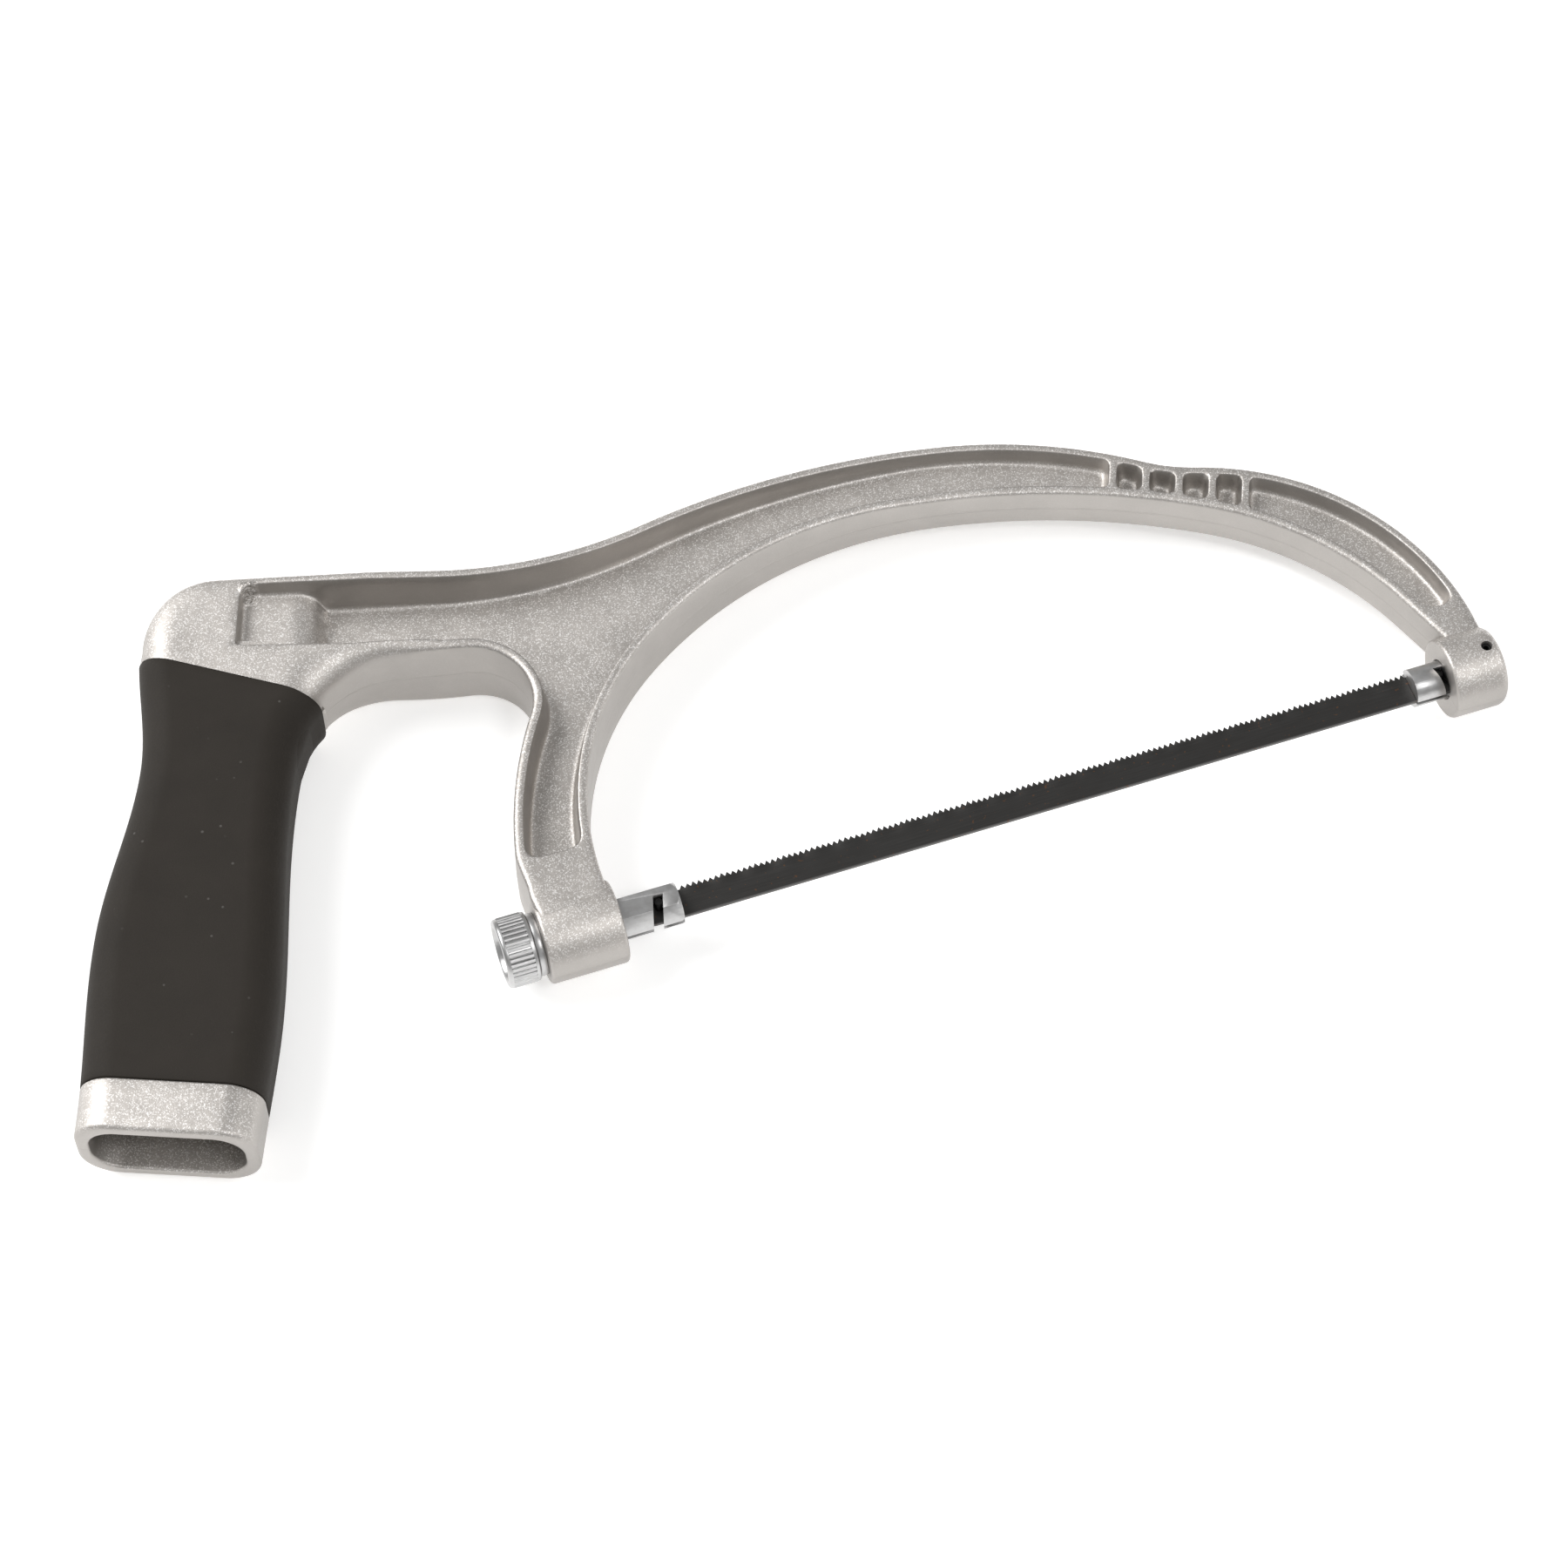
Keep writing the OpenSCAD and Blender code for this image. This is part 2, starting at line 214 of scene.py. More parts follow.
def back_w(s):
    return side(BACK_SIDE, s)


def front_w(s):
    s = max(s, FLARE_S)
    if s >= FRONT_SIDE[0][0]:
        return side(FRONT_SIDE, s)
    return FRONT_SIDE[0][1] + FLARE_W * ((FRONT_SIDE[0][0] - s) / (FRONT_SIDE[0][0] - FLARE_S)) ** 3


def on_handle(w, s):
    """The saw point at width w and station s of the leaning handle."""
    return tuple(HEAD_AT + w * ACROSS + s * DOWN)


def stations(a, b):
    """Evenly spaced stations from a to b, about a chord apart."""
    n = math.ceil(abs(b - a) / CHORD)
    return [a + (b - a) * i / n for i in range(n + 1)]


bow_top = run([85.6, 9.4, 91.8], [[51.2, 70.6], [33, -18], [92.3, 28.8], [165, 18.2], [85.5, -26.8],
                                  [0, 39.5], [14, 88]], CHORD)
gap_run = run([-120.2, 58.1, 38.1], [[17.5, -50], [0, 13.3], [11.1, -110.7], [82, 27.5]], CHORD)
throat = run([78, 6.2, 111],
             [[0, 10.5], [61.7, 38.2], [137.4, 24.2], [76.8, 42.1], [56, 57.2]], CHORD)


SEAT_CLEAR, SEAT_X = 1.3, -90         # how far the leg gives way, behind this x


def seated(pts):
    """Keeps the rear leg clear of the nut's seat."""
    return [(x + SEAT_CLEAR * float(ease((15 - y) / 9)) if x < SEAT_X else x, y) for x, y in pts]


gap_run = seated(gap_run)


def straight(a, b):
    """The points between a and b, without the two ends."""
    n = math.ceil(math.dist(a, b) / CHORD)
    return [(a[0] + (b[0] - a[0]) * i / n, a[1] + (b[1] - a[1]) * i / n) for i in range(1, n)]


def outline_with(handle):
    """The frame's outline in one turn, with the given points along the handle."""
    arm_out, arm_in, leg_out, leg_in = (85.6, 0), (79.5, 0), (-96.4, 0), (-83, 0)
    back = list(reversed(throat))
    return ([arm_out] + straight(arm_out, bow_top[0]) + bow_top + handle + gap_run
            + straight(gap_run[-1], leg_out) + [leg_out] + straight(leg_out, leg_in) + [leg_in]
            + straight(leg_in, back[0]) + back + straight(back[-1], arm_in) + [arm_in]
            + straight(arm_in, arm_out))


BACK_FROM = -5.0
full_outline = np.array(outline_with(
    [on_handle(back_w(s), s) for s in stations(BACK_FROM, HANDLE_LEN)]
    + [on_handle(front_w(s), s) for s in stations(HANDLE_LEN, FLARE_S)]))


BATCH = 3000                          # points measured at a time


def distance(pts, poly):
    """Distance from points to a closed polygon's line, above 0 inside it and below 0 outside."""
    a = poly
    b = np.roll(poly, -1, 0)
    ab = b - a
    ll = (ab ** 2).sum(1)
    out = np.empty(len(pts))
    for i in range(0, len(pts), BATCH):
        p = pts[i:i + BATCH, None, :]
        t = np.clip(((p - a) * ab).sum(2) / ll, 0, 1)
        q = a + t[..., None] * ab
        dist = np.sqrt(((p - q) ** 2).sum(2)).min(1)
        ya, yb = a[:, 1], b[:, 1]
        crosses = (ya > p[..., 1]) != (yb > p[..., 1])
        xs = a[:, 0] + (p[..., 1] - ya) * ab[:, 0] / np.where(ab[:, 1] == 0, 1e-12, ab[:, 1])
        inside = (crosses & (p[..., 0] < xs)).sum(1) % 2 == 1
        out[i:i + BATCH] = np.where(inside, dist, -dist)
    return out


# ---------------------------------------------------------------- the casting as a height field
EDGE_R, HANDLE_R = 0.95, 6.5          # rounding of the outer edges, at the bow and at the handle
NOSE_HALF, HEAD_HALF = 4.75, 9.5      # half the thickness at each end
TAPER_FROM, TAPER_LEN = 27, 100       # along the line square to the handle
WINDOW_SOFT, RIB_SOFT = 3.0, 1.2      # how gently a pocket's sides meet
RIM_W, WALL_DRAFT, RIM_EDGE, FILLET = 1.9, 7.0, 0.38, 1.0
WEB_H, CELL_H = 1.2, 0.5
RIB_MID, RIB_TURN, RIB_PITCH, RIB_W, RIBS = np.array([44.7, 52.7]), -24.0, 6.25, 1.45, 5
HUMP_AT, HUMP_TURN, HUMP_H, HUMP_R, HUMP_FLAT = np.array([-131.5, 66.0]), 72.7, 6.2, 5.0, 7.5
SIDE_DRAFT = 0.12
WINDOW = np.array([[-132.3, 72], [-128.6, 83], [-128.6, 120], [120, 120], [120, 12.5], [-99, 12.5],
                   [-99, 61.4]])


def soft_min(a, b, k):
    """The lesser of a and b, blended where they differ by less than k."""
    h = np.maximum(k - np.abs(a - b), 0) / k
    return np.minimum(a, b) - h * h * k / 4


def half_thickness(p):
    """Half the frame's thickness: thin at the nose, twice as thick at the head."""
    u = -math.cos(LEAN) * p[:, 0] + math.sin(LEAN) * p[:, 1]
    return NOSE_HALF + (HEAD_HALF - NOSE_HALF) * np.clip((u - TAPER_FROM) / TAPER_LEN, 0, 1)


def edge_radius(p):
    """The outer edges' rounding, which grows from the bow's to the handle's."""
    s = (p - HEAD_AT) @ DOWN
    w = (p - HEAD_AT) @ ACROSS
    return EDGE_R + (HANDLE_R - EDGE_R) * ease((s + 26) / 24) * (1 - ease((w - 16) / 27))


def along_ribs(p):
    """How far along the row of ribs each point is, from its middle."""
    c, s = math.cos(math.radians(RIB_TURN)), math.sin(math.radians(RIB_TURN))
    return (p - RIB_MID) @ np.array([c, s])


def pocket(p, d=None):
    """How far inside a pocket's mouth each point is."""
    d = distance(p, full_outline) if d is None else d
    inside = soft_min(d - RIM_W, distance(p, WINDOW), WINDOW_SOFT)
    t = along_ribs(p)
    for i in range(RIBS):
        rib_at = (i - (RIBS - 1) / 2) * RIB_PITCH
        inside = soft_min(inside, np.abs(t - rib_at) - RIB_W / 2, RIB_SOFT)
    return inside


def floor_height(p):
    """The height of the pockets' floor: the web, the thin cells and the hump."""
    t = np.abs(along_ribs(p))
    floor = np.where(t < RIB_PITCH * (RIBS - 1) / 2, CELL_H, WEB_H)
    c, s = math.cos(math.radians(HUMP_TURN)), math.sin(math.radians(HUMP_TURN))
    a = (p - HUMP_AT) @ np.array([s, -c]) - HUMP_FLAT
    roll = np.where(a < 0, HUMP_H, WEB_H + np.sqrt(np.clip(HUMP_R ** 2 - a ** 2, 0, None)))
    return np.maximum(floor, np.where(a < HUMP_R, roll, 0))


def height(p, d, inside):
    """Half the casting's thickness: its top with rounded edges, less the pockets."""
    top = half_thickness(p)
    r = edge_radius(p)
    e = np.clip(r - d + SIDE_DRAFT, 0, r)
    top = top - r + np.sqrt(r ** 2 - e ** 2)
    floor = np.minimum(floor_height(p), top)
    draft = math.radians(WALL_DRAFT)
    steep = 1 / math.tan(draft)
    lead = (1 - math.sin(draft)) / math.cos(draft)
    wall = top - inside * steep
    x2 = inside + RIM_EDGE * lead
    lip = top - RIM_EDGE + np.sqrt(np.clip(RIM_EDGE ** 2 - np.clip(x2, 0, RIM_EDGE) ** 2, 0, None))
    z = np.where(x2 <= 0, top, np.where(x2 < RIM_EDGE * math.cos(draft), lip, wall))
    fil = np.minimum(FILLET, np.maximum((top - floor) * 0.45, 0.05))
    foot = (top - floor) / steep + fil * lead
    back = np.clip(foot - inside, 0, fil)
    base = floor + fil - np.sqrt(np.clip(fil ** 2 - back ** 2, 0, None))
    z = np.where(inside > foot - fil * math.cos(draft), base, z)
    return np.maximum(z, 0.05)


def contours(values, xs, ys, level):
    """Chained level lines of a grid, by marching squares."""
    v = values - level
    v[v == 0] = 1e-9
    ends = {}

    def put(a, b):
        ends.setdefault(a, []).append(b)
        ends.setdefault(b, []).append(a)

    sign = v > 0
    cells = np.argwhere((sign[:-1, :-1] != sign[1:, :-1]) | (sign[:-1, :-1] != sign[:-1, 1:])
                        | (sign[:-1, :-1] != sign[1:, 1:]))
    for j, i in cells:
        cut = []
        if sign[j, i] != sign[j, i + 1]:
            cut.append(("h", j, i))
        if sign[j, i + 1] != sign[j + 1, i + 1]:
            cut.append(("v", j, i + 1))
        if sign[j + 1, i] != sign[j + 1, i + 1]:
            cut.append(("h", j + 1, i))
        if sign[j, i] != sign[j + 1, i]:
            cut.append(("v", j, i))
        for k in range(0, len(cut) - 1, 2):
            put(cut[k], cut[k + 1])
    where = {}
    for key in ends:
        kind, j, i = key
        if kind == "h":
            t = v[j, i] / (v[j, i] - v[j, i + 1])
            where[key] = (xs[i] + t * (xs[i + 1] - xs[i]), ys[j])
        else:
            t = v[j, i] / (v[j, i] - v[j + 1, i])
            where[key] = (xs[i], ys[j] + t * (ys[j + 1] - ys[j]))
    lines = []
    left = dict.fromkeys(ends)
    while left:
        key = next(iter(left))
        line = [key]
        del left[key]
        while True:
            step = [k for k in ends[line[-1]] if k in left]
            if not step:
                break
            line.append(step[0])
            del left[step[0]]
        lines.append(np.array([where[k] for k in line]))
    return lines


def resampled(line, gap):
    """A closed line's points, evenly spaced, or None if it is very short."""
    q = np.vstack([line, line[:1]])
    length = np.concatenate([[0], np.cumsum(np.linalg.norm(np.diff(q, axis=0), axis=1))])
    n = max(int(round(length[-1] / gap)), 8)
    if length[-1] < 2.0:
        return None
    at = np.arange(n) / n * length[-1]
    return np.column_stack([np.interp(at, length, q[:, 0]), np.interp(at, length, q[:, 1])])


def casting():
    """Bow, head and legs as one closed shell."""
    w_back = back_w(-4.0)
    s_back = SLEEVE_TOP + SLEEVE_SLOPE * w_back
    s_front = SLEEVE_TOP + SLEEVE_SLOPE * front_w(2.0)
    cut_from, cut_to = on_handle(back_w(s_back), s_back), on_handle(front_w(s_front), s_front)
    handle = ([on_handle(back_w(s), s) for s in stations(BACK_FROM, s_back)]
              + straight(cut_from, cut_to) + [cut_to]
              + [on_handle(front_w(s), s) for s in stations(s_front, FLARE_S)][1:])
    edge = np.array(outline_with(handle))
    keep = np.linalg.norm(edge - np.roll(edge, 1, 0), axis=1) > 0.05
    edge = edge[keep]
    tangent = np.roll(edge, -1, 0) - np.roll(edge, 1, 0)
    normal = np.column_stack([-tangent[:, 1], tangent[:, 0]])
    normal /= np.linalg.norm(normal, axis=1)[:, None]
    inner_d = distance(edge + 0.02 * normal, full_outline)
    on_cut = inner_d > 0.1
    radius = edge_radius(edge)
    points, loops = [], []

    def add_loop(pts):
        base = len(points)
        points.extend(map(tuple, pts))
        n = len(pts)
        loops.extend((base + i, base + (i + 1) % n) for i in range(n))

    # lines that follow the outer edge and its rounding
    add_loop(edge)
    add_loop(edge + normal * np.where(on_cut, 0.03, SIDE_DRAFT)[:, None])
    free = ~on_cut
    for f in (0.05, 0.16, 0.34, 0.6, 1.0):
        ring = edge + normal * (SIDE_DRAFT + radius * f)[:, None]
        inside_edge = distance(ring, edge)
        good = free & (inside_edge > (SIDE_DRAFT + radius * f) * 0.93)
        base = len(points)
        index = np.full(len(ring), -1)
        index[good] = base + np.arange(good.sum())
        points.extend(map(tuple, ring[good]))
        nxt = np.roll(index, -1)
        loops.extend((int(a), int(b)) for a, b in zip(index, nxt) if a >= 0 and b >= 0)
    # lines that follow the pockets' walls, settled onto their level by a few Newton steps
    cell = 0.8
    xs = np.arange(-140, 92, cell)
    ys = np.arange(6, 96, cell)
    gx, gy = np.meshgrid(xs, ys)
    flat = np.column_stack([gx.ravel(), gy.ravel()])
    mouth = pocket(flat).reshape(gx.shape)
    draft = math.radians(WALL_DRAFT)
    lead = RIM_EDGE * (1 - math.sin(draft)) / math.cos(draft)
    for level in (-lead, -lead * 0.45, 0.02, 0.3, 0.6, 0.9, 1.2, 1.55, 1.95, 2.4):
        for line in contours(mouth.copy(), xs, ys, level):
            pts = resampled(line, 1.25)
            if pts is None:
                continue
            for _ in range(3):
                h = 0.05
                v = pocket(pts)
                gradient = np.column_stack([(pocket(pts + [h, 0]) - v) / h,
                                            (pocket(pts + [0, h]) - v) / h])
                size = np.maximum((gradient ** 2).sum(1), 0.3)
                pts = pts - np.clip((v - level) / size, -0.3, 0.3)[:, None] * gradient
            add_loop(pts)
    # a plain grid over the flat places between those lines
    pitch = 1.5
    gx, gy = np.meshgrid(np.arange(-156, 88, pitch), np.arange(0.5, 96, pitch * 0.866))
    gx[1::2] += pitch / 2
    grid = np.column_stack([gx.ravel(), gy.ravel()])
    d_edge = distance(grid, edge)
    grid = grid[d_edge > 0.8]
    d_edge = d_edge[d_edge > 0.8]
    d = distance(grid, full_outline)
    v = pocket(grid, d)
    r = edge_radius(grid)
    on_top = v < -lead - 0.6
    by_handle = (d_edge < d - 0.5) & (r > 3) & (d > 1)
    keep = (v > 3.0) | (on_top & (d > SIDE_DRAFT + r + 0.6)) | (on_top & by_handle)
    points.extend(map(tuple, grid[keep]))
    flat, _, tris, _, _, _ = geometry.delaunay_2d_cdt(
        [Vector(p) for p in points], loops, [], 0, 1e-4)
    p = np.array([tuple(q) for q in flat])
    tris = np.array([t for t in tris if len(t) == 3])
    mid = p[tris].mean(1)
    tris = tris[distance(mid, edge) > 0]
    d = distance(p, full_outline)
    inside = pocket(p, d)
    z = height(p, np.maximum(d, 0), inside)
    on_rim = distance(p, edge) < 0.01
    z[on_rim] = 0
    used = np.unique(tris)
    order = -np.ones(len(p), int)
    order[used] = np.arange(len(used))
    p, z, inside, tris = p[used], z[used], inside[used], order[tris]
    area = np.cross(p[tris[:, 1]] - p[tris[:, 0]], p[tris[:, 2]] - p[tris[:, 0]])
    tris[area < 0] = tris[area < 0][:, ::-1]
    n = len(p)
    lower = np.where(z == 0, np.arange(n), np.arange(n) + n)
    verts = np.vstack([np.column_stack([p, z]), np.column_stack([p, -z])])
    faces = [tuple(t) for t in tris.tolist()] + [tuple(t[::-1]) for t in lower[tris].tolist()]
    return verts, faces


# ---------------------------------------------------------------- handle and sleeve
def handle_ring(s_of, inset, half, corner, count=18):
    """One section across the handle; s_of gives the station at a width, so a section may slant."""
    ring = []
    low = back_w(min(s_of(-14), HANDLE_LEN)) + inset
    high = front_w(min(s_of(17), HANDLE_LEN)) - inset
    c = max(corner - inset * 0.5, 1.0)
    h = half - inset
    corners = ((high - c, h - c, 0), (low + c, h - c, 90), (low + c, -h + c, 180),
               (high - c, -h + c, 270))
    for cx, cz, a0 in corners:
        for i in range(count + 1):
            a = math.radians(a0 + 90 * i / count)
            w, z = cx + c * math.cos(a), cz + c * math.sin(a)
            x, y = on_handle(w, s_of(w))
            ring.append((x, y, z))
        wa, za = w, z
        nxt = {0: (low + c, h), 90: (low, -h + c), 180: (high - c, -h), 270: (high, h - c)}[a0]
        for i in range(1, 8):
            w, z = wa + (nxt[0] - wa) * i / 8, za + (nxt[1] - za) * i / 8
            x, y = on_handle(w, s_of(w))
            ring.append((x, y, z))
    return ring


def half_at(s):
    """Half the handle's thickness: full at the head, a little less at its end."""
    return HEAD_HALF - 0.75 * float(ease((s - 30) / 60))


def slanted(t):
    """Stations from the sleeve's slanting top edge, t 0, to its straight lower edge, t 1."""
    def at(w):
        top = SLEEVE_TOP + SLEEVE_SLOPE * w
        return top + t * (COLLAR_S - top)
    return at


def level(s):
    """A section square to the handle at station s."""
    return lambda w: s


def sleeve():
    """The rubber sleeve, a tube with slightly rolled edges."""
    rings, lip = [], 0.35
    steps = [(0.0006, lip), (0.001, 0.1), (0.003, 0.0)] + [(i / 46, 0.0) for i in range(1, 46)]
    steps += [(0.9965, 0.0), (0.9985, 0.1), (0.9992, lip)]
    for t, inset in steps:
        rings.append(handle_ring(slanted(t), inset, half_at(t * COLLAR_S), HANDLE_R))
    for t in (0.9992, 0.75, 0.5, 0.25, 0.0006):
        rings.append(handle_ring(slanted(t), SLEEVE_T - 0.02, half_at(t * COLLAR_S), HANDLE_R))
    return loft(rings, join=True)


def handle_core():
    """The hollow tube under the sleeve and the bare collar below it."""
    rings = []

    def add(s, inset, corner=HANDLE_R):
        rings.append(handle_ring(level(s), inset, half_at(s), corner))

    for s in (-9, 0, 2, 4, 7, 10, 14, 18, 24, 30, 40, 50, 60, 70, COLLAR_S):
        add(s, SLEEVE_T + 0.05)
    step, end, wall, round_r = COLLAR_S + 0.03, HANDLE_LEN, 2.7, 1.1
    for s, inset in ((step, 0.5), (step + 0.05, 0.22), (step + 0.2, 0.06), (step + 0.45, 0.0)):
        add(s, inset)
    for i in range(1, 5):
        add(step + 0.45 + (end - round_r - step - 0.45) * i / 4, 0.0)
    for i in range(1, 7):
        a = math.radians(15 * i)
        add(end - round_r + round_r * math.sin(a), round_r * (1 - math.cos(a)))
    for i in range(0, 6):
        a = math.radians(18 * i)
        add(end - 0.6 + 0.6 * math.cos(a), wall - 0.6 + 0.6 * math.sin(a) - 0.25)
    for s in (85, 75, 60, 45, 30, 18, 14):
        add(s, wall - 0.25 + (90 - s) * 0.008)
    for s, inset in ((13.2, wall + 1.2), (13.0, wall + 2.6)):
        add(s, inset)
    return loft(rings)


# ---------------------------------------------------------------- bosses, washer, nut
HEX_AF = 7.4                          # the draw bolt's bar across its flats, and so the bore
SHANK_BORE_R, HOLDER_BORE_R = 2.55, 3.65
REAR_BOSS_L, FRONT_BOSS_L = 14.5, 10.5


def hexed(flats_from, flats_to):
    """Makes the rings of a turned shell between two places in its profile hexagonal."""
    def shape(i, r, a):
        if not flats_from <= i < flats_to:
            return r
        turn = (a + math.pi / 6 + math.pi / 2) % (math.pi / 3) - math.pi / 6
        return r / math.cos(turn)
    return shape


def ring_shell(profile, shape=None, sides=96):
    """A closed ring: the profile goes out along its outside and back along its bore."""
    return loft(turned(profile, sides, shape), join=True)


def rear_boss():
    """The boss that the draw bolt slides in, with its hexagonal bore and the nut's seat."""
    x0, x1 = REAR_END, REAR_FACE
    out = arc(x0 + 0.7, 6.9, 0.7, 180, 90) + arc(x1 - 0.8, 6.8, 0.8, 90, 0)
    flat = HEX_AF / 2 + 0.05
    bore = [(x1, 3.95), (x1 - 0.25, flat), (x0 + 4.5, flat), (x0 + 4.4, SHANK_BORE_R),
            (x0 + 0.1, SHANK_BORE_R), (x0, 2.7)]
    n = len(out)
    return ring_shell(out + bore, hexed(n, n + 3))


def front_boss():
    """The nose's boss, with a blind bore for the front holder."""
    x0, x1 = FRONT_FACE, FRONT_END
    out = arc(x0 + 0.7, 6.75, 0.7, 180, 90) + arc(x1 - 1.7, 5.75, 1.7, 90, 0, 9)
    shell = turned(out + [(x1, 3), (x1, 0.4)])
    bore = turned([(x1 - 1.2, 0.4), (x1 - 1.2, HOLDER_BORE_R), (x0 + 0.3, HOLDER_BORE_R),
                   (x0, 3.9)])
    return loft(shell + bore, join=True)


REAR_END = span("nut_washer")[1]
REAR_FACE = REAR_END + REAR_BOSS_L
FRONT_FACE = PIN_X + 0.8
FRONT_END = FRONT_FACE + FRONT_BOSS_L


def drilled(shell, across, radius, length):
    """A shell with a round hole along z through it, at the saw point across."""
    objs = []
    rings = [[(across[0] + radius * math.cos(a), across[1] + radius * math.sin(a), z)
              for a in np.arange(32) * math.pi / 16] for z in (-length, length)]
    for verts, faces in (shell, loft(rings)):
        mesh = bpy.data.meshes.new("cutting")
        mesh.from_pydata([tuple(v) for v in verts], [], faces)
        bm = bmesh.new()
        bm.from_mesh(mesh)
        bmesh.ops.recalc_face_normals(bm, faces=bm.faces)
        bm.to_mesh(mesh)
        bm.free()
        objs.append(bpy.data.objects.new("cutting", mesh))
        bpy.context.scene.collection.objects.link(objs[-1])
    cut = objs[0].modifiers.new("hole", "BOOLEAN")
    cut.object, cut.operation, cut.solver = objs[1], "DIFFERENCE", "EXACT"
    plain = evaluated(objs[0])
    result = [np.array(v.co) for v in plain.vertices], [tuple(f.vertices) for f in plain.polygons]
    for obj in objs:
        bpy.data.objects.remove(obj)
    return result


# ---------------------------------------------------------------- shader expressions
class Value:
    """A socket or a number in a node tree, with arithmetic that adds Math nodes."""

    def __init__(self, shade, socket):
        self.shade, self.socket = shade, socket

    def _math(self, operation, a, b):
        return self.shade.node("ShaderNodeMath", {"operation": operation}, {0: a, 1: b})

    def __add__(self, other):
        return self._math("ADD", self, other)

    def __radd__(self, other):
        return self._math("ADD", other, self)

    def __sub__(self, other):
        return self._math("SUBTRACT", self, other)

    def __rsub__(self, other):
        return self._math("SUBTRACT", other, self)

    def __mul__(self, other):
        return self._math("MULTIPLY", self, other)

    def __rmul__(self, other):
        return self._math("MULTIPLY", other, self)

    def over(self, edge, soft):
        """0 below edge - soft, 1 above edge + soft."""
        return self.shade.node("ShaderNodeMapRange", {"interpolation_type": "SMOOTHSTEP"},
                               {0: self, 1: edge - soft, 2: edge + soft, 3: 0.0, 4: 1.0})


class Shade:
    """A material's node tree."""

    def __init__(self, name):
        self.material = bpy.data.materials.new(name)
        self.material.use_nodes = True
        self.tree = self.material.node_tree
        self.bsdf = self.tree.nodes["Principled BSDF"]

    def node(self, kind, settings=None, inputs=None, out=0):
        n = self.tree.nodes.new(kind)
        for key, value in (settings or {}).items():
            setattr(n, key, value)
        for key, value in (inputs or {}).items():
            if isinstance(value, Value):
                self.tree.links.new(value.socket, n.inputs[key])
            else:
                n.inputs[key].default_value = value
        return Value(self, n.outputs[out])

    def place(self, scale=(1, 1, 1)):
        """Object coordinates in millimetres, times scale."""
        at = self.node("ShaderNodeTexCoord", out="Object")
        steps = tuple(k / MM for k in scale)
        return self.node("ShaderNodeMapping", {}, {"Vector": at, "Scale": steps})

    def noise(self, at, scale, detail=2.0, rough=0.5):
        return self.node("ShaderNodeTexNoise", {}, {"Vector": at, "Scale": scale, "Detail": detail,
                                                    "Roughness": rough})

    def cells(self, at, scale, out="Distance"):
        return self.node("ShaderNodeTexVoronoi", {}, {"Vector": at, "Scale": scale}, out)

    def mix(self, factor, a, b):
        return self.node("ShaderNodeMix", {"data_type": "RGBA"}, {0: factor, 6: a, 7: b}, 2)

    def attribute(self, name):
        return self.node("ShaderNodeAttribute", {"attribute_name": name}, out="Fac")

    def axis(self, k):
        at = self.place()
        return self.node("ShaderNodeSeparateXYZ", {}, {0: at}, k)

    def bump(self, height, strength, distance, below=None):
        inputs = {"Height": height, "Strength": strength, "Distance": distance * MM}
        if below:
            inputs["Normal"] = below
        return self.node("ShaderNodeBump", {}, inputs)

    def set(self, **sockets):
        for key, value in sockets.items():
            name = key.replace("_", " ")
            if isinstance(value, Value):
                self.tree.links.new(value.socket, self.bsdf.inputs[name])
            else:
                self.bsdf.inputs[name].default_value = value
        return self.material


def grey(v, warm=0.0):
    """A grey of value v, tinted towards orange by warm."""
    return (v * (1 + warm), v, v * (1 - warm), 1)


def cast_aluminium():
    """Blasted die casting: fine sparkling grain on the faces, smoother drafted walls painted darker
    as shade.
    """
    m = Shade("cast_aluminium_blasted")
    at = m.place()
    wall = m.attribute("wall")
    mottle = m.noise(at, 0.09, 3.0, 0.6)
    fine = m.noise(at, 3.6, 2.0, 0.6)
    grain = m.cells(at, 5.6, "Color")
    facet = m.node("ShaderNodeSeparateColor", {}, {0: grain}, 0)
    dark = m.mix(mottle.over(0.5, 0.22), grey(0.44, 0.06), grey(0.54, 0.06))
    speck = (facet.over(0.80, 0.10) * 0.68 + fine.over(0.58, 0.15) * 0.15) * (1 - wall * 0.85)
    color = m.mix(speck, dark, grey(0.98, 0.02))
    # painted shade: the upright faces are painted darker than the flat ones
    color = m.mix(wall * 0.7, color, grey(0.36, 0.05))
    rough = 0.42 + 0.2 * fine - 0.08 * wall
    pit = m.noise(at, 0.55, 2.0)
    lumps = m.noise(at, 0.16, 2.0, 0.5)
    n = m.bump(lumps, 0.5, 0.25)
    n = m.bump(pit, 0.35, 0.08, n)
    n = m.bump(fine * (1 - wall * 0.7), 0.6, 0.04, n)
    # the die's parting line round the middle of the walls, and a cold shut in the hump's corner
    z = m.axis(2) - ORIGIN[2]
    n = m.bump((1 - (z * z).over(0.03, 0.025)) * wall, 0.5, 0.12, n)
    dx, dy = m.axis(0) - (ORIGIN[0] - 126.9), m.axis(1) - (ORIGIN[1] + 83.3)
    shut = (1 - (dx * dx + dy * dy).over(2.2, 1.6)) * m.noise(at, 0.9, 3.0, 0.6)
    n = m.bump(shut, 1.0, 1.1, n)
    return m.set(Base_Color=color, Roughness=rough, Metallic=0.95, Normal=n)


